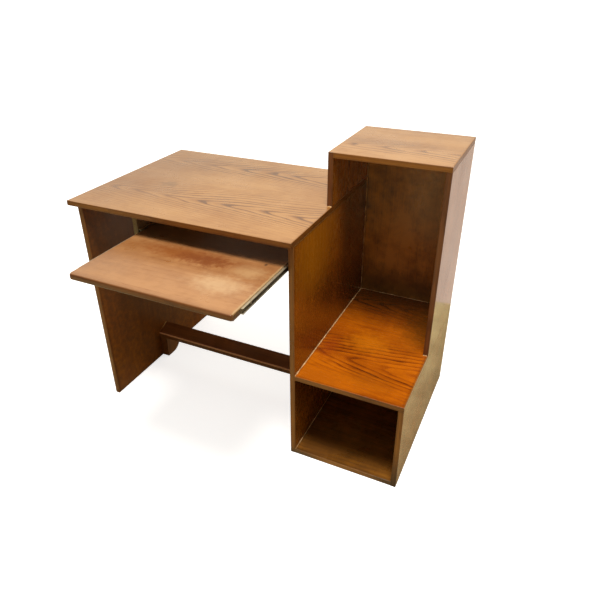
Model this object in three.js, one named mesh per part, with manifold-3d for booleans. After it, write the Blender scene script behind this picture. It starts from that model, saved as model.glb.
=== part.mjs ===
// Computer desk with a pull-out keyboard tray and an open shelf tower on its right.
// Millimetres, +Z up. The desk is drawn with x = 0 on the desktop's right edge, y = 0 on the
// desktop's front edge and z = 0 on the floor, then moved so that the centre of its footprint,
// with the tray pulled out, is at x = 0 and y = 0.

import * as THREE from 'three';
import { mergeVertices } from 'three/addons/utils/BufferGeometryUtils.js';
import Module from 'manifold-3d';

const wasm = await Module();
wasm.setup();

// Carcass
const board = 16;                 // thickness of every carcass board
const lip = 3;                    // solid lipping glued on the visible edges
const arris = 1.5;                // rounding of a lipping's outer corners
const desktopLength = 765;
const depth = 605;
const deskHeight = 750;
const leftOverhang = 31;          // desktop past the left side panel
const leftSetback = 9;            // left side panel behind the desktop's front edge
const lowerSetback = 15;          // partition, shelf, base and lower right panel
const upperSetback = 279;         // everything of the tower above the shelf
const towerClearWidth = 317;
const towerHeight = 912;
const shelfTop = 311;
const backThickness = 5;
const housingDepth = 2;           // the tower's upper panels are let into desktop and shelf

// Rail, hanger and its cleat under the desktop
const railHeight = 100;
const hangerRight = -540;         // face that carries the left slide
const hangerFront = 45;
const cleatSize = 20;
const cleatInset = 35;

// Keyboard tray, drawn pulled out
const trayTravel = 263;
const trayClosedFront = 6;        // front edge with the tray pushed in
const trayDepth = 395;
const trayThickness = 18;
const trayTop = 672;
const trayLip = 6;
const sideGap = 13;               // room for a slide on each side of the tray

// Slides
const slideLength = 350;
const slideFront = 48;            // front end of the cabinet members
const slideSteel = 1.2;
const cabinetHeight = 27;
const cabinetDepth = 10.4;
const drawerHeight = 15.6;
const drawerDepth = 6.5;
const slideDrop = 11;             // the slides' middle below the tray's top
const cageSteel = 0.8;
const cageWeb = -3.9;             // cage's web, between the screw heads and the drawer member
const cageReach = 7.3;             // how far its bent edges reach over the drawer member
const cageInset = 1.5;            // cage's clearance to the end stop
const ballRadius = 2.1;
const ballsPerRow = 6;

// Footrest
const footrestFront = 272;
const footrestFrontHeight = 107;
const footrestWidth = 56;
const footrestAngle = THREE.MathUtils.degToRad(26);
const bracketWidth = 29;
const bracketFront = 276;
const bracketBack = 356;
const bracketHeel = 47;           // radius of the bracket's lower back corner
const fittingGap = 0.3;

// Fasteners
const dowelRadius = 4;
const dowelLength = 30;
const dowelInBoard = 10;          // how far a dowel goes into the face of a board
const dowelFree = 1;              // glue space at each end of its hole
const screwRadius = 1.7;
const screwHeadRadius = 3.4;
const screwHeadHeight = 1.6;
const screwLength = 13;
const holeFree = 0.3;             // radial clearance of every drilled hole
const roundSteps = 12;

// Places worked out from the values above
const desktopUnder = deskHeight - board;
const upperLeftFoot = deskHeight - housingDepth;
const leftOuter = -desktopLength + leftOverhang;
const leftInner = leftOuter + board;
const towerRight = towerClearWidth + board;
const shelfUnder = shelfTop - board;
const upperRightFoot = shelfTop - housingDepth;
const topUnder = towerHeight - board;
const backFace = depth - backThickness;
const hangerLeft = hangerRight - board;
const railFront = depth - board;
const trayFront = trayClosedFront - trayTravel;
const trayBack = trayFront + trayDepth;
const trayRight = -board - sideGap;
const trayLeft = hangerRight + sideGap;
const slideHeight = trayTop - slideDrop;

// ---- finishes ----------------------------------------------------------------------------

function woodFinish(colour, roughness) {
  return new THREE.MeshStandardMaterial({ color: colour, roughness, metalness: 0 });
}

function steelFinish(colour, roughness) {
  return new THREE.MeshStandardMaterial({ color: colour, roughness, metalness: 0.9 });
}

const finish = {
  desktop: () => woodFinish(0xc8996b, 0.35),
  panel: () => woodFinish(0xa0581c, 0.3),
  lipping: () => woodFinish(0x5e3c22, 0.35),
  tray: () => woodFinish(0xcf9f72, 0.45),
  back: () => woodFinish(0x7a4a20, 0.45),
  raw: () => woodFinish(0xb08c5e, 0.7),
  footrest: () => woodFinish(0x6a3d20, 0.4),
  slide: () => steelFinish(0x8a8a84, 0.35),
  screw: () => steelFinish(0xb0aea4, 0.3),
};

// ---- helpers -----------------------------------------------------------------------------

function toSolid(geometry) {
  const plain = geometry.clone();
  plain.deleteAttribute('normal');
  plain.deleteAttribute('uv');
  const merged = mergeVertices(plain, 1e-4);
  return new wasm.Manifold(new wasm.Mesh({
    numProp: 3,
    vertProperties: new Float32Array(merged.attributes.position.array),
    triVerts: new Uint32Array(merged.index.array),
  }));
}

function toGeometry(solid) {
  const mesh = solid.getMesh();
  const geometry = new THREE.BufferGeometry();
  geometry.setAttribute('position', new THREE.BufferAttribute(mesh.vertProperties, 3));
  geometry.setIndex(new THREE.BufferAttribute(mesh.triVerts, 1));
  geometry.computeVertexNormals();
  return geometry;
}

function cutFrom(geometry, tools) {
  let solid = toSolid(geometry);
  for (const tool of tools) {
    solid = solid.subtract(toSolid(tool));
  }
  return toGeometry(solid);
}

const desk = new THREE.Group();

function add(name, geometry, material) {
  const mesh = new THREE.Mesh(geometry, material);
  mesh.name = name;
  desk.add(mesh);
  return mesh;
}

// A box between two values on each axis.
function box(x, y, z) {
  const geometry = new THREE.BoxGeometry(x[1] - x[0], y[1] - y[0], z[1] - z[0]);
  geometry.translate((x[0] + x[1]) / 2, (y[0] + y[1]) / 2, (z[0] + z[1]) / 2);
  return geometry;
}

// A round rod along an axis, between two values on that axis, at a point of the other two.
function rod(axis, radius, from, to, across) {
  const geometry = new THREE.CylinderGeometry(radius, radius, to - from, roundSteps);
  const middle = (from + to) / 2;
  if (axis === 'x') {
    geometry.rotateZ(Math.PI / 2);
    geometry.translate(middle, across[0], across[1]);
  } else {
    geometry.rotateX(Math.PI / 2);
    geometry.translate(across[0], across[1], middle);
  }
  return geometry;
}

// An outline in the y-z plane, carried along x.
function alongX(outline, from, to) {
  const geometry = new THREE.ExtrudeGeometry(outline, {
    depth: to - from,
    bevelEnabled: false,
    curveSegments: 10,
  });
  geometry.applyMatrix4(new THREE.Matrix4().makeBasis(
    new THREE.Vector3(0, 1, 0),
    new THREE.Vector3(0, 0, 1),
    new THREE.Vector3(1, 0, 0),
  ));
  geometry.translate(from, 0, 0);
  return geometry;
}

// An outline in the z-x plane, carried along y.
function alongY(outline, from, to) {
  const geometry = new THREE.ExtrudeGeometry(outline, { depth: to - from, bevelEnabled: false });
  geometry.applyMatrix4(new THREE.Matrix4().makeBasis(
    new THREE.Vector3(0, 0, 1),
    new THREE.Vector3(1, 0, 0),
    new THREE.Vector3(0, 1, 0),
  ));
  geometry.translate(0, from, 0);
  return geometry;
}

// The section of a lipping: thick across, lip deep, with its two outer corners rounded.
// Its outer face lies on y = 0 and its glued face on y = lip.
function lippingSection(across) {
  const section = new THREE.Shape();
  section.moveTo(0, lip);
  section.lineTo(0, arris);
  section.absarc(arris, arris, arris, Math.PI, 1.5 * Math.PI, false);
  section.lineTo(across - arris, 0);
  section.absarc(across - arris, arris, arris, 1.5 * Math.PI, 2 * Math.PI, false);
  section.lineTo(across, lip);
  section.closePath();
  return section;
}

function lippingBar(length) {
  return new THREE.ExtrudeGeometry(lippingSection(board), {
    depth: length,
    bevelEnabled: false,
    curveSegments: 3,
  });
}

// Upright lipping that faces forward.
function uprightLipping(name, x, y, z) {
  const geometry = lippingBar(z[1] - z[0]);
  geometry.translate(x, y, z[0]);
  add(name, geometry, finish.lipping());
}

// Level lipping that faces forward.
function levelLipping(name, x, y, top) {
  const geometry = lippingBar(x[1] - x[0]);
  geometry.applyMatrix4(new THREE.Matrix4().makeBasis(
    new THREE.Vector3(0, 0, -1),
    new THREE.Vector3(0, 1, 0),
    new THREE.Vector3(1, 0, 0),
  ));
  geometry.translate(x[0], y, top);
  add(name, geometry, finish.lipping());
}

// Level lipping along a board's end, facing +x (side = 1) or -x (side = -1).
function endLipping(name, side, x, y, top, cuts = []) {
  const geometry = lippingBar(y[1] - y[0]);
  geometry.applyMatrix4(new THREE.Matrix4().makeBasis(
    new THREE.Vector3(0, 0, -side),
    new THREE.Vector3(-side, 0, 0),
    new THREE.Vector3(0, 1, 0),
  ));
  geometry.translate(x, y[0], side > 0 ? top : top - board);
  add(name, cuts.length > 0 ? cutFrom(geometry, cuts) : geometry, finish.lipping());
}

// ---- dowelled joints ---------------------------------------------------------------------

// Each joint is where an upright board's end meets a level board's face. The dowel goes
// dowelInBoard into the level board and the rest into the upright one.
const joints = {
  leftSide: { x: leftOuter + board / 2, face: desktopUnder, up: true, ys: [90, 520] },
  partition: { x: -board / 2, face: desktopUnder, up: true, ys: [90, 540] },
  upperLeft: { x: -board / 2, face: upperLeftFoot, up: false, ys: [330, 500] },
  lowerRight: { x: towerClearWidth + board / 2, face: shelfUnder, up: true, ys: [90, 520] },
  upperRight: { x: towerClearWidth + board / 2, face: upperRightFoot, up: false, ys: [330, 560] },
  topLeft: { x: -board / 2, face: topUnder, up: true, ys: [330, 560] },
  topRight: { x: towerClearWidth + board / 2, face: topUnder, up: true, ys: [330, 560] },
};

// The dowel's lower and upper end: up is true where the level board lies on the upright one.
function dowelSpan(joint) {
  const sign = joint.up ? 1 : -1;
  const inLevel = joint.face + sign * dowelInBoard;
  const inUpright = joint.face - sign * (dowelLength - dowelInBoard);
  return [Math.min(inLevel, inUpright), Math.max(inLevel, inUpright)];
}

function dowelHoles(...names) {
  const holes = [];
  for (const name of names) {
    const joint = joints[name];
    const [low, high] = dowelSpan(joint);
    for (const y of joint.ys) {
      holes.push(rod('z', dowelRadius + holeFree, low - dowelFree, high + dowelFree, [joint.x, y]));
    }
  }
  return holes;
}

function addDowels() {
  const chamfer = 1;
  for (const [name, joint] of Object.entries(joints)) {
    const [low, high] = dowelSpan(joint);
    joint.ys.forEach((y, index) => {
      const profile = [
        new THREE.Vector2(0, low),
        new THREE.Vector2(dowelRadius - chamfer, low),
        new THREE.Vector2(dowelRadius, low + chamfer),
        new THREE.Vector2(dowelRadius, high - chamfer),
        new THREE.Vector2(dowelRadius - chamfer, high),
        new THREE.Vector2(0, high),
      ];
      const geometry = new THREE.LatheGeometry(profile, roundSteps);
      geometry.rotateX(Math.PI / 2);
      geometry.translate(joint.x, y, 0);
      const plainName = name.replace(/([A-Z])/g, '_$1').toLowerCase();
      add(`dowel_${plainName}_${index + 1}`, geometry, finish.raw());
    });
  }
}

// ---- desk --------------------------------------------------------------------------------

function addDesktop() {
  const panel = box([-desktopLength + lip, -lip], [lip, depth], [desktopUnder, deskHeight]);
  const holes = dowelHoles('leftSide', 'partition', 'upperLeft');
  const housing = box([-board, lip], [upperSetback, depth + lip], [upperLeftFoot, deskHeight + lip]);
  add('desktop_panel', cutFrom(panel, [...holes, housing]), finish.desktop());
  levelLipping('desktop_front_lipping', [-desktopLength, 0], 0, deskHeight);
  endLipping('desktop_left_lipping', -1, -desktopLength, [lip, depth], deskHeight);
  endLipping('desktop_right_lipping', 1, 0, [lip, depth], deskHeight, [housing]);
}

function addLeftSide() {
  const panel = box([leftOuter, leftInner], [leftSetback + lip, depth], [0, desktopUnder]);
  add('left_side_panel', cutFrom(panel, dowelHoles('leftSide')), finish.panel());
  uprightLipping('left_side_lipping', leftOuter, leftSetback, [0, desktopUnder]);
}

function addPartition() {
  const panel = box([-board, 0], [lowerSetback + lip, depth], [0, desktopUnder]);
  const holes = dowelHoles('partition').concat(slidePilots('right', 'cabinet'));
  add('partition_panel', cutFrom(panel, holes), finish.panel());
  uprightLipping('partition_lipping', -board, lowerSetback, [0, desktopUnder]);
}

function addBackRail() {
  const rail = box([leftInner, -board], [railFront, depth], [desktopUnder - railHeight, desktopUnder]);
  add('back_rail', rail, finish.panel());
}

function addHanger() {
  const low = desktopUnder - railHeight;
  const panel = box([hangerLeft, hangerRight], [hangerFront, railFront], [low, desktopUnder]);
  add('hanger_board', cutFrom(panel, slidePilots('left', 'cabinet')), finish.raw());
  const cleatAcross = [hangerLeft - cleatSize, hangerLeft];
  const cleatEnds = [hangerFront + cleatInset, railFront - cleatInset];
  const cleatHeights = [desktopUnder - cleatSize, desktopUnder];
  add('hanger_cleat', box(cleatAcross, cleatEnds, cleatHeights), finish.raw());
}

// ---- tower -------------------------------------------------------------------------------

function addTowerSides() {
  const upperLeft = box([-board, 0], [upperSetback + lip, depth], [upperLeftFoot, topUnder]);
  add('upper_left_panel', cutFrom(upperLeft, dowelHoles('upperLeft', 'topLeft')), finish.panel());
  uprightLipping('upper_left_lipping', -board, upperSetback, [upperLeftFoot, towerHeight]);

  const across = [towerClearWidth, towerRight];
  const lowerRight = box(across, [lowerSetback + lip, depth], [0, shelfUnder]);
  add('lower_right_panel', cutFrom(lowerRight, dowelHoles('lowerRight')), finish.panel());
  uprightLipping('lower_right_lipping', towerClearWidth, lowerSetback, [0, shelfUnder]);

  const upperRight = box(across, [upperSetback + lip, depth], [upperRightFoot, topUnder]);
  add('upper_right_panel', cutFrom(upperRight, dowelHoles('upperRight', 'topRight')), finish.panel());
  uprightLipping('upper_right_lipping', towerClearWidth, upperSetback, [upperRightFoot, topUnder]);
}

function addTowerTop() {
  const panel = box([-board, towerRight - lip], [upperSetback + lip, depth], [topUnder, towerHeight]);
  add('tower_top_panel', cutFrom(panel, dowelHoles('topLeft', 'topRight')), finish.desktop());
  levelLipping('tower_top_front_lipping', [0, towerRight], upperSetback, towerHeight);
  endLipping('tower_top_right_lipping', 1, towerRight, [upperSetback + lip, depth], towerHeight);
}

// The shelf runs over the lower right panel to its outer face. It is notched at the back,
// where the back panel passes it.
function addShelf() {
  const panel = box([0, towerRight - lip], [lowerSetback + lip, depth], [shelfUnder, shelfTop]);
  const notch = box([-lip, towerClearWidth], [backFace, depth + lip], [shelfUnder - lip, shelfTop + lip]);
  const holes = dowelHoles('lowerRight', 'upperRight');
  const housing = box(
    [towerClearWidth, towerRight + lip],
    [upperSetback, depth + lip],
    [upperRightFoot, shelfTop + lip],
  );
  const ends = [lowerSetback + lip, depth];
  add('shelf_panel', cutFrom(panel, [...holes, notch, housing]), finish.panel());
  levelLipping('shelf_front_lipping', [0, towerRight], lowerSetback, shelfTop);
  endLipping('shelf_right_lipping', 1, towerRight, ends, shelfTop, [housing]);
}

function addBase() {
  add('base_panel', box([0, towerClearWidth], [lowerSetback + lip, backFace], [0, board]), finish.panel());
  levelLipping('base_lipping', [0, towerClearWidth], lowerSetback, board);
}

function addTowerBack() {
  add('tower_back_panel', box([0, towerClearWidth], [backFace, depth], [0, topUnder]), finish.back());
}

// ---- slides ------------------------------------------------------------------------------

// side is 'left' or 'right'. The slide is drawn for the right of the tray, with its
// cabinet member against x = 0 and its drawer member against x = -sideGap.
const slideSides = {
  left: { face: hangerRight, sign: -1 },
  right: { face: -board, sign: 1 },
};

const screwPlaces = {
  cabinet: [slideFront + 30, slideFront + 290],
  drawer: [slideFront - trayTravel + 45, slideFront - trayTravel + 300],
};

function placeX(side, x) {
  return slideSides[side].face + slideSides[side].sign * x;
}

function spanX(side, from, to) {
  const first = placeX(side, from);
  const last = placeX(side, to);
  return [Math.min(first, last), Math.max(first, last)];
}

// A C section standing on z = slideHeight, open towards direction (-1 or 1) along x.
function channelSection(backX, deep, high, direction, side) {
  const inner = backX + direction * slideSteel;
  const open = backX + direction * deep;
  const half = high / 2;
  const points = [
    [backX, -half],
    [open, -half],
    [open, -half + slideSteel],
    [inner, -half + slideSteel],
    [inner, half - slideSteel],
    [open, half - slideSteel],
    [open, half],
    [backX, half],
  ].map(([x, z]) => new THREE.Vector2(slideHeight + z, placeX(side, x)));
  if (THREE.ShapeUtils.isClockWise(points)) {
    points.reverse();
  }
  return new THREE.Shape(points);
}

function screwHoles(side, member, from, to) {
  const [low, high] = spanX(side, from, to);
  return screwPlaces[member].map((y) => rod('x', screwRadius + holeFree, low, high, [y, slideHeight]));
}

// Holes in the boards behind the slide members.
function slidePilots(side, member) {
  if (member === 'cabinet') {
    return screwHoles(side, member, -1, screwLength + 1);
  }
  return screwHoles(side, member, -sideGap + 1, -sideGap - screwLength - 1);
}

function addSlideMember(side, member) {
  const cabinet = member === 'cabinet';
  const back = cabinet ? 0 : -sideGap;
  const direction = cabinet ? -1 : 1;
  const deep = cabinet ? cabinetDepth : drawerDepth;
  const high = cabinet ? cabinetHeight : drawerHeight;
  const front = cabinet ? slideFront : slideFront - trayTravel;
  const section = channelSection(back, deep, high, direction, side);
  const bar = alongY(section, front, front + slideLength);
  const holes = screwHoles(side, member, back - 3, back + 3);
  add(`${side}_${member}_member`, cutFrom(bar, holes), finish.slide());
}

// The cage is a strip with two bent edges that hold a row of balls each.
function addBallCage(side) {
  const ballHeight = (cabinetHeight / 2 - slideSteel + drawerHeight / 2) / 2;
  const start = slideFront + cageInset;
  const end = start + slideLength - trayTravel / 2 - 2 * cageInset;
  const ballX = placeX(side, (-cabinetDepth - sideGap + drawerDepth) / 2);
  const web = spanX(side, cageWeb, cageWeb + cageSteel);
  const across = spanX(side, cageWeb + cageSteel - cageReach, cageWeb + cageSteel);
  const reach = ballHeight + cageSteel / 2;
  let cage = toSolid(box(web, [start, end], [slideHeight - reach, slideHeight + reach]));
  for (const row of [-1, 1]) {
    const height = slideHeight + row * ballHeight;
    const edge = box(across, [start, end], [height - cageSteel / 2, height + cageSteel / 2]);
    cage = cage.add(toSolid(edge));
    for (let index = 0; index < ballsPerRow; index += 1) {
      const ball = new THREE.SphereGeometry(ballRadius, 8, 6);
      const y = start + (end - start) * (index + 0.5) / ballsPerRow;
      ball.translate(ballX, y, height);
      cage = cage.add(toSolid(ball));
    }
  }
  add(`${side}_ball_cage`, toGeometry(cage), finish.slide());
}

// A pan-head screw through a slide member into the board behind it.
function addSlideScrew(side, member, index) {
  const cabinet = member === 'cabinet';
  const direction = cabinet ? 1 : -1;
  const seat = cabinet ? -slideSteel : -sideGap + slideSteel;
  const edge = 0.5;
  const profile = [
    new THREE.Vector2(0, -screwHeadHeight),
    new THREE.Vector2(screwHeadRadius - edge, -screwHeadHeight),
    new THREE.Vector2(screwHeadRadius, -screwHeadHeight + edge),
    new THREE.Vector2(screwHeadRadius, 0),
    new THREE.Vector2(screwRadius, 0),
    new THREE.Vector2(screwRadius, screwLength - 3),
    new THREE.Vector2(0, screwLength),
  ];
  const geometry = new THREE.LatheGeometry(profile, roundSteps);
  const turn = direction * slideSides[side].sign;
  geometry.rotateZ(-turn * Math.PI / 2);
  geometry.translate(placeX(side, seat), screwPlaces[member][index], slideHeight);
  add(`${side}_${member}_screw_${index + 1}`, geometry, finish.screw());
}

function addSlides() {
  for (const side of ['left', 'right']) {
    addBallCage(side);
    for (const member of ['cabinet', 'drawer']) {
      addSlideMember(side, member);
      for (let index = 0; index < screwPlaces[member].length; index += 1) {
        addSlideScrew(side, member, index);
      }
    }
  }
}

// ---- keyboard tray -----------------------------------------------------------------------

function addTray() {
  const under = trayTop - trayThickness;
  const panel = box([trayLeft, trayRight], [trayFront + trayLip, trayBack], [under, trayTop]);
  const holes = slidePilots('left', 'drawer').concat(slidePilots('right', 'drawer'));
  add('keyboard_tray_panel', cutFrom(panel, holes), finish.tray());

  // The lipping's plan: a strip with two rounded front corners.
  const plan = new THREE.Shape();
  const back = trayFront + trayLip;
  plan.moveTo(trayLeft, back);
  plan.absarc(trayLeft + trayLip, back, trayLip, Math.PI, 1.5 * Math.PI, false);
  plan.absarc(trayRight - trayLip, back, trayLip, 1.5 * Math.PI, 2 * Math.PI, false);
  plan.closePath();
  const strip = new THREE.ExtrudeGeometry(plan, {
    depth: trayThickness,
    bevelEnabled: false,
    curveSegments: 6,
  });
  strip.translate(0, 0, under);
  add('keyboard_tray_lipping', strip, finish.lipping());
}

// ---- footrest ----------------------------------------------------------------------------

// Height of the footrest board's underside at a depth y.
function footrestUnder(y) {
  const rise = (y - footrestFront) * Math.tan(footrestAngle);
  return footrestFrontHeight - board / Math.cos(footrestAngle) + rise;
}

function addFootrest() {
  const backTop = [
    footrestFront + footrestWidth * Math.cos(footrestAngle),
    footrestFrontHeight + footrestWidth * Math.sin(footrestAngle),
  ];
  const boardBack = backTop[0] + board * Math.sin(footrestAngle);
  const outline = new THREE.Shape();
  outline.moveTo(footrestFront, footrestUnder(footrestFront));
  outline.lineTo(boardBack, backTop[1] - board * Math.cos(footrestAngle));
  outline.lineTo(backTop[0], backTop[1]);
  outline.lineTo(footrestFront, footrestFrontHeight);
  outline.closePath();
  add('footrest_board', alongX(outline, leftInner, -board), finish.footrest());

  const drop = bracketBack - boardBack;
  const bracket = new THREE.Shape();
  bracket.moveTo(bracketFront, 0);
  bracket.lineTo(bracketBack - bracketHeel, 0);
  bracket.absarc(bracketBack - bracketHeel, bracketHeel, bracketHeel, -Math.PI / 2, 0, false);
  bracket.lineTo(bracketBack, footrestUnder(boardBack) - drop);
  bracket.lineTo(boardBack, footrestUnder(boardBack) - fittingGap);
  bracket.lineTo(bracketFront, footrestUnder(bracketFront) - fittingGap);
  bracket.closePath();
  add('footrest_left_bracket', alongX(bracket, leftInner, leftInner + bracketWidth), finish.footrest());
  add('footrest_right_bracket', alongX(bracket, -board - bracketWidth, -board), finish.footrest());
}

addDesktop();
addLeftSide();
addPartition();
addBackRail();
addHanger();
addTowerSides();
addTowerTop();
addShelf();
addBase();
addTowerBack();
addSlides();
addTray();
addFootrest();
addDowels();

desk.position.set((desktopLength - towerRight) / 2, -(depth + trayFront) / 2, 0);

export default desk;
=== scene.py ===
import math
import random

import bmesh
import bpy
from mathutils import Matrix, Vector


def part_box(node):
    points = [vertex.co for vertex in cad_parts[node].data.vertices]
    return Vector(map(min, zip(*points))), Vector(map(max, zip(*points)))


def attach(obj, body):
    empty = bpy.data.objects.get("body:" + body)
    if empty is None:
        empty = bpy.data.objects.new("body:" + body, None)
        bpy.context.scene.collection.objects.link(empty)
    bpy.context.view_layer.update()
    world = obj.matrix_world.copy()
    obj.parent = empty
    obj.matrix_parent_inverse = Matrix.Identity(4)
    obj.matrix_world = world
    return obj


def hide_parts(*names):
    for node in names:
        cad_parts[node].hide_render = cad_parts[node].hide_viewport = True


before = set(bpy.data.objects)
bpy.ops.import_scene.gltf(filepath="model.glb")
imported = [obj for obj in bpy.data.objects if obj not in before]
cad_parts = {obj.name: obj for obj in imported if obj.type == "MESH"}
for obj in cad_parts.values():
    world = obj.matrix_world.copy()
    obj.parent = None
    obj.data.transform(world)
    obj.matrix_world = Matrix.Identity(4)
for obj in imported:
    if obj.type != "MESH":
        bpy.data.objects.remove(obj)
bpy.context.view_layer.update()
scene = bpy.context.scene
scene.view_settings.view_transform = "Standard"
scene.view_settings.look = "None"
print("frame loaded:", len(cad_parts), "pieces")


cameraSetup = {
    "place": (0.79285, -1.36071, 1.36821),
    "azimuth": 26.15,
    "elevation": 29.95,
    "roll": -0.79,
    "lens": 34.04,
    "sensor": 36.0,
    "shiftX": 0.0176,
    "shiftY": -0.0132,
}


def makeCamera(setup):
    data = bpy.data.cameras.new("camera")
    data.sensor_width = setup["sensor"]
    data.lens = setup["lens"]
    data.shift_x = setup["shiftX"]
    data.shift_y = setup["shiftY"]
    data.clip_start = 0.05
    data.clip_end = 100
    camera = bpy.data.objects.new("camera", data)
    scene.collection.objects.link(camera)
    a, e = math.radians(setup["azimuth"]), math.radians(setup["elevation"])
    ahead = Vector((-math.sin(a) * math.cos(e), math.cos(a) * math.cos(e), -math.sin(e)))
    level = ahead.to_track_quat("-Z", "Y").to_matrix()
    turned = level @ Matrix.Rotation(math.radians(setup["roll"]), 3, "Z")
    camera.matrix_world = Matrix.Translation(setup["place"]) @ turned.to_4x4()
    scene.camera = camera


makeCamera(cameraSetup)

studio = {
    "keyElevation": 79,
    "keyAzimuth": 22,      # degrees round from straight in front, positive to the right
    "keySoftness": 14,     # degrees across, as seen from the desk
    "keyStrength": 1.3,
    "keyColour": (1.0, 0.965, 0.91),
    "lampPlace": (0.44, -0.52, 2.35),
    "lampAim": (0.15, -0.05, 0.5),
    "lampSize": 0.5,
    "lampPower": 22,
    "ceiling": (0.62, 0.61, 0.59),
    "wallHigh": (0.92, 0.85, 0.68),
    "wallLow": (0.80, 0.64, 0.52),
    "front": (0.13, 0.125, 0.10),
    "backdrop": (0.96, 0.955, 0.945),
    "floorColour": (0.86, 0.855, 0.845),
    "floorGlow": 0.72,
    "floorReach": 40,
    "floorDrop": 0.0004,   # below the desk's feet
    "cardDrop": 0.0008,
    "bounceColour": (0.65, 0.56, 0.30),
    # painted shadow of the desk on the bounce card
    "paintedDeskShadow": (0.56, 0.68, 0.58),  # darkest at the first x, full from the second, and how dark
    "blotchScale": (26, 9, 1),          # uneven floor, seen again in the tower's lacquered side
    "blotchRange": (0.74, 1.2),         # darkest and lightest of them
    "bounceCentre": (0.305, -1.36),
    "bounceRadius": 2.37,
    "cardSides": 64,
}


def makeKeyLight(setup):
    sun = bpy.data.lights.new("key_light", "SUN")
    sun.energy = setup["keyStrength"]
    sun.angle = math.radians(setup["keySoftness"])
    sun.color = setup["keyColour"]
    lamp = bpy.data.objects.new("key_light", sun)
    scene.collection.objects.link(lamp)
    e, a = math.radians(setup["keyElevation"]), math.radians(setup["keyAzimuth"])
    toLight = Vector((math.sin(a) * math.cos(e), -math.cos(a) * math.cos(e), math.sin(e)))
    lamp.rotation_mode = "QUATERNION"
    lamp.rotation_quaternion = toLight.to_track_quat("Z", "Y")


def addNode(tree, kind, inputs=None, **settings):
    node = tree.nodes.new(kind)
    for name, value in settings.items():
        setattr(node, name, value)
    for socket, value in (inputs or {}).items():
        if isinstance(value, bpy.types.NodeSocket):
            tree.links.new(value, node.inputs[socket])
        else:
            node.inputs[socket].default_value = value
    return node


def makeLamp(setup):
    data = bpy.data.lights.new("overhead_lamp", "AREA")
    data.shape = "DISK"
    data.size = setup["lampSize"]
    data.energy = setup["lampPower"]
    data.color = setup["keyColour"]
    lamp = bpy.data.objects.new("overhead_lamp", data)
    scene.collection.objects.link(lamp)
    lamp.location = setup["lampPlace"]
    toLamp = Vector(setup["lampPlace"]) - Vector(setup["lampAim"])
    lamp.rotation_mode = "QUATERNION"
    lamp.rotation_quaternion = toLamp.to_track_quat("Z", "Y")
    lamp.visible_camera = False


# where the room's tones change, by how far up, or how far back, one looks
roomBands = {"wall": (-0.1, 0.35), "ceiling": (0.5, 0.85), "behind": (-0.05, 0.35)}


def makeRoom(setup):
    world = bpy.data.worlds.new("soft_room")
    scene.world = world
    world.use_nodes = True
    tree = world.node_tree
    tree.nodes.clear()
    direction = addNode(tree, "ShaderNodeTexCoord").outputs["Generated"]
    split = addNode(tree, "ShaderNodeSeparateXYZ", {0: direction})
    up = remap(tree, split.outputs["Z"], *roomBands["wall"], smooth=True)
    overhead = remap(tree, split.outputs["Z"], *roomBands["ceiling"], smooth=True)
    behind = remap(tree, split.outputs["Y"], *roomBands["behind"], smooth=True)
    wall = mixColours(tree, up, setup["wallLow"], setup["wallHigh"])
    sides = mixColours(tree, behind, setup["front"], wall)
    colour = mixColours(tree, overhead, sides, setup["ceiling"])
    room = addNode(tree, "ShaderNodeBackground", {"Color": colour, "Strength": 1.0})
    backdrop = addNode(tree, "ShaderNodeBackground", {"Color": (*setup["backdrop"], 1), "Strength": 1.0})
    seen = addNode(tree, "ShaderNodeLightPath").outputs["Is Camera Ray"]
    shown = addNode(tree, "ShaderNodeMixShader", {0: seen, 1: room.outputs[0], 2: backdrop.outputs[0]})
    output = addNode(tree, "ShaderNodeOutputWorld")
    tree.links.new(shown.outputs[0], output.inputs["Surface"])


stagePaint = {"roughness": 0.9, "specular": 0.1}


def makeStagePlane(name, outline, height, colour, glow=0.0):
    mesh = bpy.data.meshes.new(name)
    mesh.from_pydata([(x, y, height) for x, y in outline], [], [list(range(len(outline)))])
    plane = bpy.data.objects.new(name, mesh)
    scene.collection.objects.link(plane)
    material = bpy.data.materials.new(name + "_paint")
    material.use_nodes = True
    shader = material.node_tree.nodes["Principled BSDF"]
    shader.inputs["Base Color"].default_value = (*colour, 1)
    shader.inputs["Roughness"].default_value = stagePaint["roughness"]
    shader.inputs["Specular IOR Level"].default_value = stagePaint["specular"]
    shader.inputs["Emission Color"].default_value = (1, 1, 1, 1)
    shader.inputs["Emission Strength"].default_value = glow
    mesh.materials.append(material)
    plane.visible_shadow = False
    return plane


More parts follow.
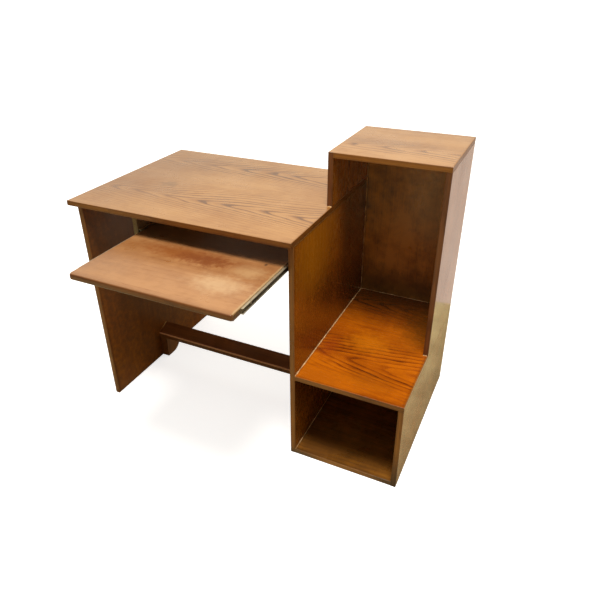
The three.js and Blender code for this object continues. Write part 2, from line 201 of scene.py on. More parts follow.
def makeFloors(setup):
    # the pale floor is only seen; a round tan card just under it gives the light that a room's
    # floor would give back, and the reflections in the lacquer; the card carries a painted shadow of the
    # desk
    far = setup["floorReach"]
    square = [(-far, -far), (far, -far), (far, far), (-far, far)]
    floor = makeStagePlane("studio_floor", square, -setup["floorDrop"], setup["floorColour"],
                           setup["floorGlow"])
    floor.visible_diffuse = False
    floor.visible_glossy = False
    x, y = setup["bounceCentre"]
    sides = setup["cardSides"]
    turns = [2 * math.pi * step / sides for step in range(sides)]
    radius = setup["bounceRadius"]
    circle = [(x + radius * math.cos(turn), y + radius * math.sin(turn)) for turn in turns]
    card = makeStagePlane("bounce_card", circle, -setup["cardDrop"], setup["bounceColour"])
    card.visible_camera = False
    tree = card.active_material.node_tree
    place = addNode(tree, "ShaderNodeTexCoord").outputs["Object"]
    split = addNode(tree, "ShaderNodeSeparateXYZ", {0: place})
    # painted shadow of the desk on the card: darkest along the desk's right side, lighter under the desk and
    # away to the right
    start, end, darkest = setup["paintedDeskShadow"]
    shade = remap(tree, split.outputs["X"], start, end, darkest, 1.0, smooth=True)
    inside = remap(tree, split.outputs["X"], 0.0, start, 1.0, darkest)
    shade = maths(tree, "MAXIMUM", shade, inside)
    blotches = stretchedNoise(tree, place, setup["blotchScale"], 3.0, 0.6)
    shade = maths(tree, "MULTIPLY", shade, remap(tree, blotches, 0.35, 0.65, *setup["blotchRange"]))
    tint = vectorMaths(tree, "MULTIPLY", setup["bounceColour"], shade)
    tree.links.new(tint, tree.nodes["Principled BSDF"].inputs["Base Color"])


# helpers for node trees: every finish is worked out from the piece's own place, grain and edges
def maths(tree, operation, first, second=None, third=None, clamp=False):
    inputs = {0: first}
    if second is not None:
        inputs[1] = second
    if third is not None:
        inputs[2] = third
    node = addNode(tree, "ShaderNodeMath", inputs, operation=operation, use_clamp=clamp)
    return node.outputs[0]


def vectorMaths(tree, operation, first, second):
    return addNode(tree, "ShaderNodeVectorMath", {0: first, 1: second}, operation=operation).outputs[0]


def remap(tree, value, fromLow, fromHigh, toLow=0.0, toHigh=1.0, smooth=False):
    node = addNode(tree, "ShaderNodeMapRange", {
        "Value": value, "From Min": fromLow, "From Max": fromHigh, "To Min": toLow, "To Max": toHigh,
    }, interpolation_type="SMOOTHSTEP" if smooth else "LINEAR")
    return node.outputs[0]


def mixColours(tree, amount, first, second):
    node = addNode(tree, "ShaderNodeMix", {0: amount}, data_type="RGBA")
    for index, colour in ((6, first), (7, second)):
        if isinstance(colour, bpy.types.NodeSocket):
            tree.links.new(colour, node.inputs[index])
        else:
            node.inputs[index].default_value = (*colour, 1)
    return node.outputs[2]


def stretchedNoise(tree, vector, stretch, detail=0.0, roughness=0.5):
    scaled = vectorMaths(tree, "MULTIPLY", vector, stretch)
    speckle = addNode(tree, "ShaderNodeTexNoise", {
        "Vector": scaled, "Scale": 1.0, "Detail": detail, "Roughness": roughness,
    })
    return speckle.outputs[0]


def ramp(tree, value, stops):
    node = addNode(tree, "ShaderNodeValToRGB", {0: value})
    while len(node.color_ramp.elements) < len(stops):
        node.color_ramp.elements.new(0.5)
    for element, (place, colour) in zip(node.color_ramp.elements, stops):
        element.position = place
        element.color = (*colour, 1) if len(colour) == 3 else colour
    return node.outputs[0]


def grey(value):
    return (value, value, value)


def startMaterial(name):
    material = bpy.data.materials.new(name)
    material.use_nodes = True
    tree = material.node_tree
    tree.nodes.clear()
    shader = addNode(tree, "ShaderNodeBsdfPrincipled")
    output = addNode(tree, "ShaderNodeOutputMaterial")
    tree.links.new(shader.outputs[0], output.inputs["Surface"])
    return material, tree, shader


def boardCoordinates(tree, grain, face, seed):
    place = addNode(tree, "ShaderNodeTexCoord").outputs["Object"]
    split = addNode(tree, "ShaderNodeSeparateXYZ", {0: place})
    across = ({"x", "y", "z"} - {grain, face}).pop()
    parts = {axis: split.outputs[axis.upper()] for axis in "xyz"}
    board = addNode(tree, "ShaderNodeCombineXYZ", {0: parts[grain], 1: parts[across], 2: parts[face]})
    draw = random.Random(seed)
    shift = Vector([draw.uniform(-20, 20) for _ in range(3)])
    return place, parts, across, vectorMaths(tree, "ADD", board.outputs[0], shift)


def edgeDistance(tree, place, corners):
    low, high = corners
    fromLow = vectorMaths(tree, "SUBTRACT", place, low)
    fromHigh = vectorMaths(tree, "SUBTRACT", high, place)
    nearest = vectorMaths(tree, "MINIMUM", fromLow, fromHigh)
    x, y, z = addNode(tree, "ShaderNodeSeparateXYZ", {0: nearest}).outputs
    smaller = maths(tree, "MINIMUM", x, y)
    larger = maths(tree, "MAXIMUM", x, y)
    return maths(tree, "MAXIMUM", smaller, maths(tree, "MINIMUM", larger, z))


# core is how far out a patch keeps its strength, ragged how uneven its rim is
plainPatch = {"core": 0.3, "ragged": 1.0}


def paintPatch(tree, place, ragged, colour, patch):
    patch = {**plainPatch, **patch}
    offset = vectorMaths(tree, "SUBTRACT", place, patch["centre"])
    scaled = vectorMaths(tree, "DIVIDE", offset, patch["size"])
    away = addNode(tree, "ShaderNodeVectorMath", {0: scaled}, operation="LENGTH").outputs["Value"]
    away = maths(tree, "MULTIPLY_ADD", ragged, patch["ragged"], away)
    amount = remap(tree, away, 1.0, patch["core"], 0.0, patch["strength"], smooth=True)
    return mixColours(tree, amount, colour, patch["colour"])


# the figure in every wood: how often each kind of mark comes per metre, along the grain and
# across it twice, then how fine and how rough it is
figure = {
    "drift": ((1.7, 6, 6), 1.0, 0.5),
    "ripple": ((9, 45, 45), 1.0, 0.5),
    "bold": ((2.3, 11, 11), 1.0, 0.5),
    "pores": ((55, 1300, 1300), 0.0, 0.5),
    "fibre": ((7, 240, 240), 2.0, 0.5),
    "streak": ((1.6, 30, 30), 2.0, 0.5),
    "stain": ((3.1, 5.5, 5.5), 2.0, 0.5),
    "mottle": ((21, 21, 21), 3.0, 0.6),
    "ragged": ((60, 60, 60), 3.0, 0.65),
    "rubbing": ((38, 160, 160), 2.0, 0.65),
    "smudge": ((9, 9, 9), 3.0, 0.6),
    "brushed": ((7, 26, 26), 1.0, 0.5),
}
ringShade = [  # how dark one year's ring is from its start to its end
    (0.0, grey(0.1)), (0.09, grey(1.0)), (0.2, grey(0.72)), (0.42, grey(0.22)), (0.8, grey(0.0)),
    (1.0, grey(0.1)),
]
veneer = {
    "leafWidth": 0.36,           # where a board gives no width of its own
    "leafShift": (3.7, 2.9, 0),  # how far each leaf's figure lies from its neighbour's
    "ringDrift": 1.6,            # rings by which the slow drift moves the count
    "boldSpan": 0.2,
    "fade": (0.16, 0.42),        # shares of a leaf's width between which the flames die away
    "offHeart": 0.15,            # what is left of them there
    "poreSize": (0.56, 0.74),
    "poresInRings": (0.7, 0.3),
    "overFace": (0.8, 0.93),     # how squarely a face must look along the axis to show the run-on veneer
    "grimeBand": (0.006, -0.001),
    "rubbedBand": (0.62, 0.42),
}
lacquer = {
    "uneven": (0.75, 1.3), "overPores": 0.18, "overRubbing": 0.25, "wave": 0.35, "grainDepth": 0.0003,
    "sunkPores": -1.0, "raisedFibre": 0.5, "sunkRings": -0.4,
}


def makeWood(name, wood, corners, grain, face, seed, details):
    material, tree, shader = startMaterial(name)
    place, parts, across, board = boardCoordinates(tree, grain, face, seed)
    axis = "xyz".index(across)
    heart = details.get("heart", (corners[0][axis] + corners[1][axis]) / 2)
    leaf = details.get("leaf", veneer["leafWidth"])

    def mark(kind, vector):
        return stretchedNoise(tree, vector, *figure[kind])

    def swing(kind, vector):
        return maths(tree, "SUBTRACT", mark(kind, vector), 0.5)

    # veneer leaves laid side by side, each with its own figure
    side = maths(tree, "SUBTRACT", parts[across], heart)
    leafNumber = maths(tree, "FLOOR", maths(tree, "MULTIPLY_ADD", side, 1 / leaf, 0.5))
    leafShift = vectorMaths(tree, "MULTIPLY", veneer["leafShift"], leafNumber)
    board = vectorMaths(tree, "ADD", board, leafShift)
    side = maths(tree, "WRAP", side, leaf / 2, -leaf / 2)

    # growth rings: each leaf is a slice beside the heart of a tapering log
    drift = swing("drift", board)
    ripple = swing("ripple", board)
    side = maths(tree, "MULTIPLY_ADD", drift, wood["drift"], side)
    squared = maths(tree, "ADD", maths(tree, "MULTIPLY", side, side), wood["heartDepth"] ** 2)
    reach = maths(tree, "SQRT", squared)
    ringPlace = maths(tree, "MULTIPLY_ADD", parts[grain], wood["taper"], reach)
    ringPlace = maths(tree, "MULTIPLY_ADD", ripple, wood["ripple"], ringPlace)
    count = maths(tree, "DIVIDE", ringPlace, wood["ringWidth"])
    count = maths(tree, "MULTIPLY_ADD", drift, veneer["ringDrift"], count)
    ring = ramp(tree, maths(tree, "FRACT", count), ringShade)
    faint = wood["faint"]
    bold = remap(tree, mark("bold", board), faint, faint + veneer["boldSpan"], wood["quiet"], 1.0)
    fadeStart, fadeEnd = (leaf * share for share in veneer["fade"])
    clear = remap(tree, maths(tree, "ABSOLUTE", side), fadeStart, fadeEnd, 1.0, veneer["offHeart"])
    rings = maths(tree, "MULTIPLY", ring, maths(tree, "MULTIPLY", bold, clear))

    # open pores, fine fibre, broad streaks and an uneven stain
    pores = remap(tree, mark("pores", board), *veneer["poreSize"])
    inRings = maths(tree, "MULTIPLY_ADD", ring, *veneer["poresInRings"])
    pores = maths(tree, "MULTIPLY", pores, inRings)
    fibre = swing("fibre", board)
    tone = maths(tree, "MULTIPLY_ADD", rings, wood["rings"], wood["tone"])
    for kind, part in (("pores", pores), ("fibre", fibre), ("streak", swing("streak", board)),
                       ("stain", swing("stain", board)), ("mottle", swing("mottle", place))):
        tone = maths(tree, "MULTIPLY_ADD", part, wood[kind], tone)
    tone = maths(tree, "MAXIMUM", tone, 0.0)
    colour = ramp(tree, tone, [(0.0, wood["pale"]), (0.5, wood["middle"]), (1.0, wood["dark"])])

    # where the neighbouring board's veneer runs on over this strip
    if "over" in details:
        over = woods[details["over"]]
        runOn = ramp(tree, tone, [(0.0, over["pale"]), (0.6, over["middle"]), (1.0, over["dark"])])
        normal = addNode(tree, "ShaderNodeTexCoord").outputs["Normal"]
        facing = addNode(tree, "ShaderNodeSeparateXYZ", {0: normal})
        turned = maths(tree, "ABSOLUTE", facing.outputs[details["overAxis"].upper()])
        colour = mixColours(tree, remap(tree, turned, *veneer["overFace"]), colour, runOn)

    ragged = swing("ragged", place)
    for patch in details.get("patches", ()):
        colour = paintPatch(tree, place, ragged, colour, patch)

    # rubbed edges, and the grime that gathers just inside them
    nearEdge = edgeDistance(tree, place, corners)
    patchy = mark("rubbing", board)
    inner, outer = veneer["grimeBand"]
    grime = maths(tree, "MULTIPLY_ADD", patchy, -inner, nearEdge)
    grime = remap(tree, grime, inner, outer, 0.0, wood["grime"], smooth=True)
    colour = mixColours(tree, grime, colour, wood["dark"])
    inner, outer = (wood["wearReach"] * share for share in veneer["rubbedBand"])
    rubbed = maths(tree, "MULTIPLY_ADD", patchy, wood["wearReach"], nearEdge)
    rubbed = remap(tree, rubbed, inner, outer, 0.0, wood["wear"])
    colour = mixColours(tree, rubbed, colour, wood["rubbed"])
    tree.links.new(colour, shader.inputs["Base Color"])

    # lacquer: gloss varies with rubbing and sunk pores
    glossiest, dullest = (wood["roughness"] * share for share in lacquer["uneven"])
    gloss = remap(tree, mark("smudge", place), 0.3, 0.7, glossiest, dullest)
    gloss = maths(tree, "MULTIPLY_ADD", pores, lacquer["overPores"], gloss)
    gloss = maths(tree, "MULTIPLY_ADD", rubbed, lacquer["overRubbing"], gloss, clamp=True)
    tree.links.new(gloss, shader.inputs["Roughness"])
    relief = maths(tree, "MULTIPLY", fibre, lacquer["raisedFibre"])
    relief = maths(tree, "MULTIPLY_ADD", pores, lacquer["sunkPores"], relief)
    relief = maths(tree, "MULTIPLY_ADD", rings, lacquer["sunkRings"], relief)
    grainBump = addNode(tree, "ShaderNodeBump", {
        "Strength": wood["bump"], "Distance": lacquer["grainDepth"], "Height": relief,
    })
    lacquerBump = addNode(tree, "ShaderNodeBump", {
        "Strength": lacquer["wave"], "Distance": wood["lacquerWave"], "Height": mark("brushed", board),
        "Normal": grainBump.outputs[0],
    })
    tree.links.new(lacquerBump.outputs[0], shader.inputs["Normal"])
    shader.inputs["Coat Weight"].default_value = wood["coat"]
    shader.inputs["Coat Roughness"].default_value = wood["coatRoughness"]
    shader.inputs["Specular IOR Level"].default_value = wood["specular"]
    return material


makeKeyLight(studio)
makeLamp(studio)
makeRoom(studio)
makeFloors(studio)
print("camera, lights and floor ready")


def dress(nodeName, material):
    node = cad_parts[nodeName]
    node.data.materials.clear()
    node.data.materials.append(material)


# every wood: its colours from pale to dark, how strong each part of its figure is, the spacing and
# wander of its rings, its wear, and its lacquer
woods = {
    "top": {
        "pale": (0.45, 0.215, 0.066), "middle": (0.32, 0.128, 0.031), "dark": (0.145, 0.050, 0.012),
        "rubbed": (0.50, 0.27, 0.11), "tone": 0.08, "rings": 1.05, "pores": 0.30, "fibre": 0.50,
        "streak": 0.55, "stain": 0.95, "mottle": 0.55, "faint": 0.29, "quiet": 0.3, "drift": 0.075,
        "ripple": 0.011, "heartDepth": 0.03, "taper": -0.11, "ringWidth": 0.0125,
        "grime": 0.08, "wear": 0.35, "wearReach": 0.002, "bump": 0.25, "lacquerWave": 0.0004,
        "roughness": 0.30, "specular": 0.5, "coat": 0.5, "coatRoughness": 0.16,
    },
    "panel": {
        "pale": (0.38, 0.118, 0.006), "middle": (0.24, 0.066, 0.004), "dark": (0.065, 0.017, 0.002),
        "rubbed": (0.45, 0.19, 0.03), "tone": 0.22, "rings": 0.30, "pores": 0.12, "fibre": 0.28,
        "streak": 0.85, "stain": 0.9, "mottle": 0.6, "faint": 0.45, "quiet": 0.3, "drift": 0.07,
        "ripple": 0.005, "heartDepth": 0.05, "taper": 0.03, "ringWidth": 0.02,
        "grime": 0.45, "wear": 0.3, "wearReach": 0.0018, "bump": 0.25, "lacquerWave": 0.0004,
        "roughness": 0.22, "specular": 0.5, "coat": 0.6, "coatRoughness": 0.07,
    },
    "shelf": {
        "pale": (0.57, 0.138, 0.003), "middle": (0.34, 0.068, 0.002), "dark": (0.085, 0.015, 0.002),
        "rubbed": (0.58, 0.24, 0.04), "tone": 0.14, "rings": 0.82, "pores": 0.16, "fibre": 0.45,
        "streak": 0.85, "stain": 1.2, "mottle": 0.7, "faint": 0.42, "quiet": 0.3, "drift": 0.06,
        "ripple": 0.011, "heartDepth": 0.024, "taper": -0.15, "ringWidth": 0.0145,
        "grime": 0.3, "wear": 0.3, "wearReach": 0.0018, "bump": 0.25, "lacquerWave": 0.0004,
        "roughness": 0.20, "specular": 0.5, "coat": 0.6, "coatRoughness": 0.08,
    },
    "base": {
        "pale": (0.34, 0.130, 0.014), "middle": (0.165, 0.062, 0.009), "dark": (0.045, 0.020, 0.005),
        "rubbed": (0.5, 0.27, 0.1), "tone": 0.28, "rings": 0.5, "pores": 0.3, "fibre": 0.45,
        "streak": 0.6, "stain": 0.9, "mottle": 0.6, "faint": 0.5, "quiet": 0.3, "drift": 0.06,
        "ripple": 0.005, "heartDepth": 0.03, "taper": -0.05, "ringWidth": 0.016,
        "grime": 0.35, "wear": 0.4, "wearReach": 0.002, "bump": 0.3, "lacquerWave": 0.0004,
        "roughness": 0.28, "specular": 0.5, "coat": 0.4, "coatRoughness": 0.15,
    },
    "tray": {
        "pale": (0.44, 0.205, 0.074), "middle": (0.29, 0.112, 0.033), "dark": (0.11, 0.034, 0.01),
        "rubbed": (0.60, 0.40, 0.19), "tone": 0.16, "rings": 0.16, "pores": 0.2, "fibre": 0.3,
        "streak": 0.4, "stain": 0.6, "mottle": 0.6, "faint": 0.5, "quiet": 0.3, "drift": 0.06,
        "ripple": 0.004, "heartDepth": 0.05, "taper": 0.03, "ringWidth": 0.018,
        "grime": 0.1, "wear": 0.5, "wearReach": 0.003, "bump": 0.3, "lacquerWave": 0.0005,
        "roughness": 0.34, "specular": 0.5, "coat": 0.4, "coatRoughness": 0.2,
    },
    "lipping": {
        "pale": (0.36, 0.135, 0.017), "middle": (0.21, 0.070, 0.009), "dark": (0.045, 0.015, 0.004),
        "rubbed": (0.48, 0.27, 0.09), "tone": 0.28, "rings": 0.25, "pores": 0.3, "fibre": 0.6,
        "streak": 0.6, "stain": 0.6, "mottle": 0.3, "faint": 0.45, "quiet": 0.3, "drift": 0.02,
        "ripple": 0.003, "heartDepth": 0.06, "taper": 0.02, "ringWidth": 0.004,
        "grime": 0.25, "wear": 0.5, "wearReach": 0.0016, "bump": 0.3, "lacquerWave": 0.0003,
        "roughness": 0.34, "specular": 0.4, "coat": 0.22, "coatRoughness": 0.18,
    },
    "back": {
        "pale": (0.54, 0.235, 0.035), "middle": (0.31, 0.125, 0.018), "dark": (0.08, 0.03, 0.005),
        "rubbed": (0.4, 0.2, 0.05), "tone": 0.25, "rings": 0.15, "pores": 0.3, "fibre": 0.45,
        "streak": 0.4, "stain": 1.7, "mottle": 1.5, "faint": 0.45, "quiet": 0.3, "drift": 0.08,
        "ripple": 0.006, "heartDepth": 0.06, "taper": 0.03, "ringWidth": 0.026,
        "grime": 0.5, "wear": 0.1, "wearReach": 0.0015, "bump": 0.35, "lacquerWave": 0.0006,
        "roughness": 0.33, "specular": 0.5, "coat": 0.3, "coatRoughness": 0.2,
    },
    "raw": {
        "pale": (0.36, 0.27, 0.15), "middle": (0.26, 0.18, 0.09), "dark": (0.10, 0.065, 0.03),
        "rubbed": (0.42, 0.33, 0.2), "tone": 0.3, "rings": 0.25, "pores": 0.3, "fibre": 0.6,
        "streak": 0.5, "stain": 0.5, "mottle": 0.3, "faint": 0.4, "quiet": 0.3, "drift": 0.05,
        "ripple": 0.004, "heartDepth": 0.05, "taper": 0.03, "ringWidth": 0.012,
        "grime": 0.2, "wear": 0.3, "wearReach": 0.002, "bump": 0.45, "lacquerWave": 0.0003,
        "roughness": 0.62, "specular": 0.35, "coat": 0.0, "coatRoughness": 0.3,
    },
    "footrest": {
        "pale": (0.27, 0.094, 0.022), "middle": (0.16, 0.052, 0.013), "dark": (0.04, 0.012, 0.004),
        "rubbed": (0.38, 0.19, 0.07), "tone": 0.3, "rings": 0.3, "pores": 0.3, "fibre": 0.5,
        "streak": 0.6, "stain": 0.6, "mottle": 0.4, "faint": 0.45, "quiet": 0.3, "drift": 0.04,
        "ripple": 0.004, "heartDepth": 0.04, "taper": 0.03, "ringWidth": 0.012,
        "grime": 0.2, "wear": 0.75, "wearReach": 0.004, "bump": 0.3, "lacquerWave": 0.0004,
        "roughness": 0.34, "specular": 0.5, "coat": 0.3, "coatRoughness": 0.2,
    },
    "dowel": {
        "pale": (0.62, 0.42, 0.24), "middle": (0.5, 0.32, 0.17), "dark": (0.3, 0.17, 0.08),
        "rubbed": (0.6, 0.42, 0.25), "tone": 0.2, "rings": 0.15, "pores": 0.2, "fibre": 0.5,
        "streak": 0.3, "stain": 0.3, "mottle": 0.1, "faint": 0.4, "quiet": 0.3, "drift": 0.01,
        "ripple": 0.002, "heartDepth": 0.05, "taper": 0.02, "ringWidth": 0.003,
        "grime": 0.2, "wear": 0.2, "wearReach": 0.001, "bump": 0.3, "lacquerWave": 0.0002,
        "roughness": 0.6, "specular": 0.35, "coat": 0.0, "coatRoughness": 0.3,
    },
}


smoothFace = {"rings": 0.1, "pores": 0.04, "fibre": 0.12, "bump": 0.12, "grime": 0.08, "wear": 0.1}

# each board: its wood, which way its grain runs, which way its broad face looks, where the heart
# of the log lay across it, and the patches on it: stains and marks that use has left, and painted light and
# shade
boards = {
    "desktop_panel": {"wood": "top", "grain": "x", "face": "z", "heart": 0.004, "leaf": 0.305,
                      "tweaks": {"quiet": 0.7}, "patches": [
        # painted shade: the desktop's left end and back darker, where the light falls weaker
        {"centre": (-0.52, 0.16, 0.75), "size": (0.40, 0.6, 0.05), "colour": (0.25, 0.094, 0.025),
         "strength": 0.62, "core": 0.1, "ragged": 0.7},
        {"centre": (-0.346, 0.08, 0.75), "size": (0.05, 0.035, 0.02), "colour": (0.17, 0.070, 0.022),
         "strength": 0.55, "core": 0.1, "ragged": 2.0},
        {"centre": (-0.37, 0.33, 0.75), "size": (0.10, 0.06, 0.02), "colour": (0.24, 0.092, 0.025),
         "strength": 0.55, "core": 0.1, "ragged": 2.0},
    ]},
    "left_side_panel": {"wood": "panel", "grain": "z", "face": "x",
                        "tweaks": {"coat": 0.0, "roughness": 0.42, "specular": 0.3}, "patches": [
        # painted shade: the inner face darkened all over, as it lies in the desktop's shade
        {"centre": (-0.502, 0.15, 0.55), "size": (0.05, 0.6, 0.9), "colour": (0.085, 0.030, 0.007),
         "strength": 0.75},
    ]},
    "partition_panel": {"wood": "panel", "grain": "z", "face": "x",
                        "tweaks": {"rings": 0.12, "streak": 0.6}, "patches": [
        # painted light: a bright orange patch on the upper front of the face, where the light falls
        {"centre": (0.216, 0.0, 0.66), "size": (0.05, 0.22, 0.22), "colour": (0.54, 0.19, 0.005),
         "strength": 0.7, "core": 0.1},
        # painted shade: the face darker low down, where less light reaches
        {"centre": (0.216, -0.06, 0.34), "size": (0.05, 0.5, 0.27), "colour": (0.13, 0.036, 0.003),
         "strength": 0.95},
        # painted shadow: the face darker behind the tower's front, in the shade of the tower top
        {"centre": (0.216, 0.47, 0.5), "size": (0.05, 0.32, 3.0), "colour": (0.07, 0.02, 0.002),
         "strength": 0.6, "core": 0.7, "ragged": 0.2},
        {"centre": (0.216, 0.136, 0.7332), "size": (0.05, 0.9, 0.0022), "colour": (0.50, 0.27, 0.09),
         "strength": 0.8, "core": 0.5, "ragged": 2.0},
    ]},
    "back_rail": {"wood": "panel", "grain": "x", "face": "y"},
    "upper_left_panel": {"wood": "panel", "grain": "z", "face": "x"},
    "upper_right_panel": {"wood": "panel", "grain": "z", "face": "x", "tweaks": smoothFace},
    "lower_right_panel": {"wood": "panel", "grain": "z", "face": "x", "tweaks": smoothFace},
    "tower_top_panel": {"wood": "top", "grain": "x", "face": "z", "heart": 0.2, "leaf": 0.3},
    "shelf_panel": {"wood": "shelf", "grain": "x", "face": "z", "heart": -0.009, "leaf": 0.345, "patches": [
        # painted shadow: the shelf's back darker, in the shade of the tower top
        {"centre": (0.36, 0.43, 0.311), "size": (0.6, 0.25, 0.05), "colour": (0.075, 0.026, 0.005),
         "strength": 0.85, "core": 0.1, "ragged": 0.5},
        # painted shade: the shelf darker along its right side towards the back, beside the right panel
        {"centre": (0.52, 0.27, 0.311), "size": (0.13, 0.22, 0.05), "colour": (0.13, 0.042, 0.003),
         "strength": 0.8, "core": 0.1, "ragged": 0.7},
        {"centre": (0.42, -0.09, 0.311), "size": (0.12, 0.06, 0.05), "colour": (0.34, 0.085, 0.003),
         "strength": 0.5, "core": 0.1, "ragged": 1.2},
        # painted light: a bright orange pool of light in the middle of the shelf
        {"centre": (0.36, 0.10, 0.311), "size": (0.11, 0.085, 0.05), "colour": (0.72, 0.205, 0.004),
         "strength": 0.6, "core": 0.1, "ragged": 1.0},
        {"centre": (0.28, -0.13, 0.311), "size": (0.13, 0.055, 0.05), "colour": (0.40, 0.092, 0.004),
         "strength": 0.55, "core": 0.1, "ragged": 1.2},
        {"centre": (0.25, 0.03, 0.311), "size": (0.045, 0.09, 0.05), "colour": (0.30, 0.045, 0.004),
         "strength": 0.6, "core": 0.1, "ragged": 1.2},
    ]},
    "base_panel": {"wood": "base", "grain": "x", "face": "z", "patches": [
        {"centre": (0.28, -0.11, 0.016), "size": (0.09, 0.09, 0.05), "colour": (0.12, 0.045, 0.008),
         "strength": 0.6},
    ]},
    "tower_back_panel": {"wood": "back", "grain": "z", "face": "y", "patches": [
        # painted light: a lighter upright patch on the back, where light reaches it
        {"centre": (0.45, 0.426, 0.63), "size": (0.07, 0.0045, 0.20), "colour": (0.55, 0.27, 0.06),
         "strength": 0.5, "core": 0.1},
        # painted shade: the back darker in a band along the shelf
        {"centre": (0.36, 0.426, 0.35), "size": (0.4, 0.0045, 0.10), "colour": (0.10, 0.035, 0.004),
         "strength": 0.6, "core": 0.1},
    ]},
    "keyboard_tray_panel": {"wood": "tray", "grain": "x", "face": "z", "patches": [
        # painted shadow: the desktop's shadow over the back of the tray
        {"centre": (-0.16, -0.05, 0.672), "size": (0.9, 0.115, 0.05), "colour": (0.085, 0.055, 0.022),
         "strength": 0.75, "core": 0.75, "ragged": 0.3},
        # painted shade: the tray's left front darker, where the light falls weaker
        {"centre": (-0.38, -0.34, 0.672), "size": (0.26, 0.15, 0.05), "colour": (0.27, 0.125, 0.055),
         "strength": 0.5, "core": 0.1, "ragged": 0.9},
        {"centre": (-0.09, -0.205, 0.672), "size": (0.25, 0.055, 0.05), "colour": (0.28, 0.082, 0.015),
         "strength": 0.85, "core": 0.2, "ragged": 1.2},
        {"centre": (-0.02, -0.215, 0.672), "size": (0.12, 0.042, 0.05), "colour": (0.19, 0.046, 0.009),
         "strength": 0.7, "core": 0.2, "ragged": 1.6},
        {"centre": (0.14, -0.17, 0.672), "size": (0.006, 0.009, 0.02), "colour": (0.05, 0.02, 0.008),
         "strength": 0.8},
        # painted reflection: a pale glossy streak of the lamp on the tray's right front
        {"centre": (0.08, -0.315, 0.672), "size": (0.12, 0.065, 0.05), "colour": (0.64, 0.42, 0.22),
         "strength": 0.6, "core": 0.05, "ragged": 0.9},
        {"centre": (0.12, -0.23, 0.672), "size": (0.075, 0.05, 0.05), "colour": (0.52, 0.31, 0.14),
         "strength": 0.6, "core": 0.1, "ragged": 1.2},
        {"centre": (0.188, -0.25, 0.672), "size": (0.008, 0.6, 0.05), "colour": (0.52, 0.36, 0.17),
         "strength": 0.6, "core": 0.6, "ragged": 0.8},
        # painted shade: the tray's right side face darkened, as in the shadow of the gap beside the slide
        {"centre": (0.1875, -0.25, 0.6605), "size": (0.002, 2.0, 0.009), "colour": (0.035, 0.024, 0.014),
         "strength": 0.9, "core": 0.85, "ragged": 0.4},
    ]},
    "hanger_board": {"wood": "raw", "grain": "y", "face": "x"},
    "hanger_cleat": {"wood": "raw", "grain": "y", "face": "x"},
    "footrest_board": {"wood": "footrest", "grain": "x", "face": "z", "tweaks": {"wear": 0.15}, "patches": [
        # painted highlight: a bright line along the footrest's front arris
        {"centre": (-0.15, 0.098, 0.107), "size": (4.0, 0.0045, 0.0045), "colour": (0.85, 0.44, 0.24),
         "strength": 0.9, "core": 0.4, "ragged": 0.4},
    ]},
    "footrest_left_bracket": {"wood": "footrest", "grain": "z", "face": "x"},
    "footrest_right_bracket": {"wood": "footrest", "grain": "z", "face": "x"},
}

# lipping: the wood whose veneer runs on over it, the side that shows it, and any tone of its own
lippingTones = {
    "dark": {"pale": (0.24, 0.078, 0.020), "middle": (0.14, 0.043, 0.012)},
    "light": {"pale": (0.52, 0.235, 0.055), "middle": (0.34, 0.135, 0.028)},
    "smooth": {"grime": 0.08, "wear": 0.1, "bump": 0.12, "roughness": 0.22, "coat": 0.6,
               "coatRoughness": 0.07},
}
lippings = {
    "desktop_front_lipping": ("top", "z"), "desktop_left_lipping": ("top", "z"),
    "desktop_right_lipping": ("top", "z"), "left_side_lipping": ("panel", "x"),
    "partition_lipping": ("panel", "x"), "upper_left_lipping": ("panel", "x", "dark"),
    "upper_right_lipping": ("panel", "x", "dark"), "lower_right_lipping": ("panel", "x"),
    "tower_top_front_lipping": ("top", "z"), "tower_top_right_lipping": ("top", "z"),
    "shelf_front_lipping": ("shelf", "z"), "shelf_right_lipping": ("panel", "x", "smooth"),
    "base_lipping": ("base", "z", "light"),
}
# darker at the tower's feet
footDarkening = {"size": (0.10, 0.10, 0.055), "colour": (0.055, 0.034, 0.018), "strength": 0.75, "core": 0.1,
            "ragged": 0.9}
lippingMarks = {
    "lower_right_lipping": [{**footDarkening, "centre": (0.541, -0.174, 0.0), "size": (0.10, 0.10, 0.16)}],
    "base_lipping": [{**footDarkening, "centre": (0.53, -0.174, 0.008)},
                     {**footDarkening, "centre": (0.23, -0.174, -0.01)}],
    "partition_lipping": [{**footDarkening, "centre": (0.208, -0.174, -0.01)}],
}


firstSeeds = {"boards": 100, "lippings": 300, "nose": 380, "dowels": 500, "glue": 700}


def finishBoards(table):
    for seed, (name, board) in enumerate(table.items(), firstSeeds["boards"]):
        wood = {**woods[board["wood"]], **board.get("tweaks", {})}
        finish = makeWood(name + "_finish", wood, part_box(name), board["grain"], board["face"], seed, board)
        dress(name, finish)


def finishLippings(table):
    for seed, (name, (over, overAxis, *tone)) in enumerate(table.items(), firstSeeds["lippings"]):
        low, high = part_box(name)
        size = high - low
        grain = "xyz"[max(range(3), key=lambda axis: size[axis])]
        face = "xyz"[min(range(3), key=lambda axis: size[axis])]
        details = {"over": over, "overAxis": overAxis, "patches": lippingMarks.get(name, ())}
        wood = {**woods["lipping"], **(lippingTones[tone[0]] if tone else {})}
        dress(name, makeWood(name + "_finish", wood, (low, high), grain, face, seed, details))


def finishDowels():
    dowels = sorted(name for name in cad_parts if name.startswith("dowel_"))
    for seed, name in enumerate(dowels, firstSeeds["dowels"]):
        dress(name, makeWood(name + "_finish", woods["dowel"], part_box(name), "z", "x", seed, {}))


trayNose = {
    "corner": 0.0052, "edge": 0.0045, "steps": 4,
    "hair": 1e-6, "level": 0.9,  # how near counts as the back edge, and how level as a level face
    "tone": {"pale": (0.28, 0.093, 0.016), "middle": (0.155, 0.048, 0.009)},
    "handled": {"centre": (-0.50, -0.40, 0.655), "size": (0.13, 0.03, 0.018),
                "colour": (0.07, 0.045, 0.036), "strength": 0.8, "core": 0.1, "ragged": 0.8},
}


